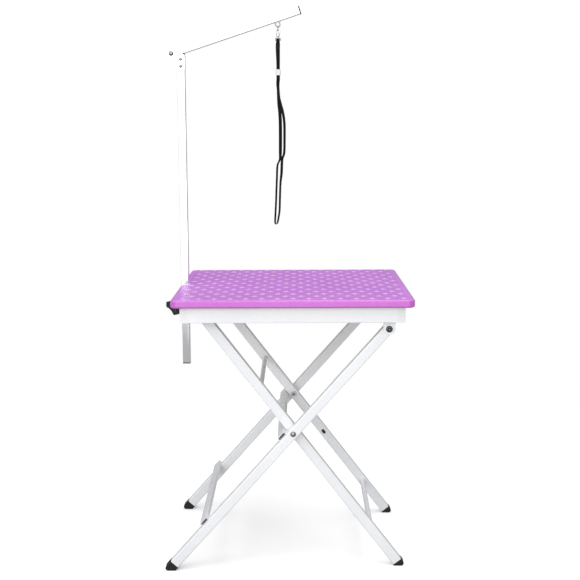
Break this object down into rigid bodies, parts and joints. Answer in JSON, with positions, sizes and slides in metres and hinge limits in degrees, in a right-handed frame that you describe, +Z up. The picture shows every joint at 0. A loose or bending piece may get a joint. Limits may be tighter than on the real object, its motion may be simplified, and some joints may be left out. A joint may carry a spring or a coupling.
{
  "type": "grooming table",
  "caption": "Folding grooming table: matted board on scissor legs, with a clamped post and folding arm that carries a webbing noose.",
  "frame": {"origin": "on the floor, under the middle of the whole table's bounding box", "axes": "+Z up; +X along the board, away from the post; +Y to the back, away from the user"},
  "size_m": [0.6414, 0.52, 1.4435],
  "materials": {
    "purple_mat": "raised pattern, satin",
    "purple_trim": "smooth, semi-gloss",
    "wood_core": "plywood, unpainted",
    "white_paint": "gloss powder coat",
    "white_plastic": "satin",
    "polished_steel": "polished",
    "zinc_steel": "zinc plated",
    "black_plastic": "moulded, satin",
    "black_rubber": "matte",
    "black_webbing": "woven nylon"
  },
  "bodies": {
    "tabletop": {"board_core": "wood_core", "board_mat": "purple_mat", "board_edge_trim": "purple_trim", "apron_front_rail": "white_paint", "apron_back_rail": "white_paint", "apron_left_rail": "white_paint", "apron_right_rail": "white_paint", "rail_end_caps": "white_plastic", "apron_tabs": "white_paint", "tab_screws": "zinc_steel", "hinge_bracket_front": "white_paint", "hinge_bracket_back": "white_paint", "hinge_pins": "zinc_steel", "catch_front": "black_plastic", "catch_back": "black_plastic", "catch_screws": "zinc_steel", "post_sleeve": "white_paint", "clamp_boss": "white_paint"},
    "knob": {"clamp_knob": "black_plastic", "clamp_screw": "zinc_steel"},
    "post": {"post_tube": "polished_steel", "plate_rivets": "zinc_steel", "post_bottom_plug": "black_plastic", "post_top_pad": "black_plastic", "pivot_plate_front": "polished_steel", "pivot_plate_back": "polished_steel", "arm_pivot_bolt": "zinc_steel", "arm_pivot_nut": "zinc_steel"},
    "arm": {"arm_tube": "polished_steel", "arm_outer_cap": "black_plastic", "arm_inner_cap": "black_plastic", "noose_eye": "polished_steel", "eye_collars": "polished_steel"},
    "noose_ring": {"noose_ring": "polished_steel"},
    "noose_swivel": {"swivel_barrel": "polished_steel"},
    "noose_strap": {"swivel_link": "polished_steel", "noose_strap": "black_webbing"},
    "noose_lock": {"noose_lock": "polished_steel"},
    "outer_legs": {"outer_leg_front": "white_paint", "outer_leg_back": "white_paint", "outer_foot_front": "black_rubber", "outer_foot_back": "black_rubber", "outer_mid_bar": "white_paint", "outer_lower_bar": "white_paint", "hinge_spacers": "black_plastic", "crossing_bolts": "zinc_steel", "crossing_spacers": "black_plastic", "crossing_washers": "zinc_steel", "crossing_nuts": "zinc_steel"},
    "inner_legs": {"inner_leg_front": "white_paint", "inner_leg_back": "white_paint", "inner_foot_front": "black_rubber", "inner_foot_back": "black_rubber", "inner_top_tube": "white_paint", "inner_upper_rod": "white_paint", "inner_lower_rod": "white_paint", "leg_plugs": "black_plastic"}
  },
  "joints": [
    {"name": "legs_fold", "type": "hinge", "parent": "tabletop", "child": "outer_legs", "pos_m": [0.26075, 0, 0.635], "axis": [0, -1, 0], "range_deg": [0, 40]},
    {"name": "inner_legs_fold", "type": "hinge", "parent": "outer_legs", "child": "inner_legs", "pos_m": [0.02075, 0, 0.364], "axis": [0, 1, 0], "range_deg": [0, 76]},
    {"name": "post_slide", "type": "slide", "parent": "tabletop", "child": "post", "axis": [0, 0, 1], "range_m": [-0.15, 0.12]},
    {"name": "knob_turn", "type": "hinge", "parent": "tabletop", "child": "knob", "pos_m": [-0.29632, -0.02687, 0.6615], "axis": [-0.7071, -0.7071, 0], "continuous": true},
    {"name": "arm_fold", "type": "hinge", "parent": "post", "child": "arm", "pos_m": [-0.29395, 0, 1.3245], "axis": [0, -1, 0], "range_deg": [0, 252]},
    {"name": "ring_swing", "type": "hinge", "parent": "arm", "child": "noose_ring", "pos_m": [-0.01559, 0, 1.39104], "axis": [1, 0, 0], "range_deg": [-80, 80]},
    {"name": "swivel_swing", "type": "hinge", "parent": "noose_ring", "child": "noose_swivel", "pos_m": [-0.01559, 0, 1.38084], "axis": [0, 1, 0], "range_deg": [-60, 22]},
    {"name": "strap_swivel", "type": "hinge", "parent": "noose_swivel", "child": "noose_strap", "pos_m": [-0.01559, 0, 1.36], "axis": [0, 0, 1], "continuous": true},
    {"name": "lock_slide", "type": "slide", "parent": "noose_strap", "child": "noose_lock", "axis": [0, 0, 1], "range_m": [-0.045, 0.06]}
  ],
  "couplings": [
    {"joint": "inner_legs_fold", "follows": "legs_fold", "ratio": 1.9}
  ]
}
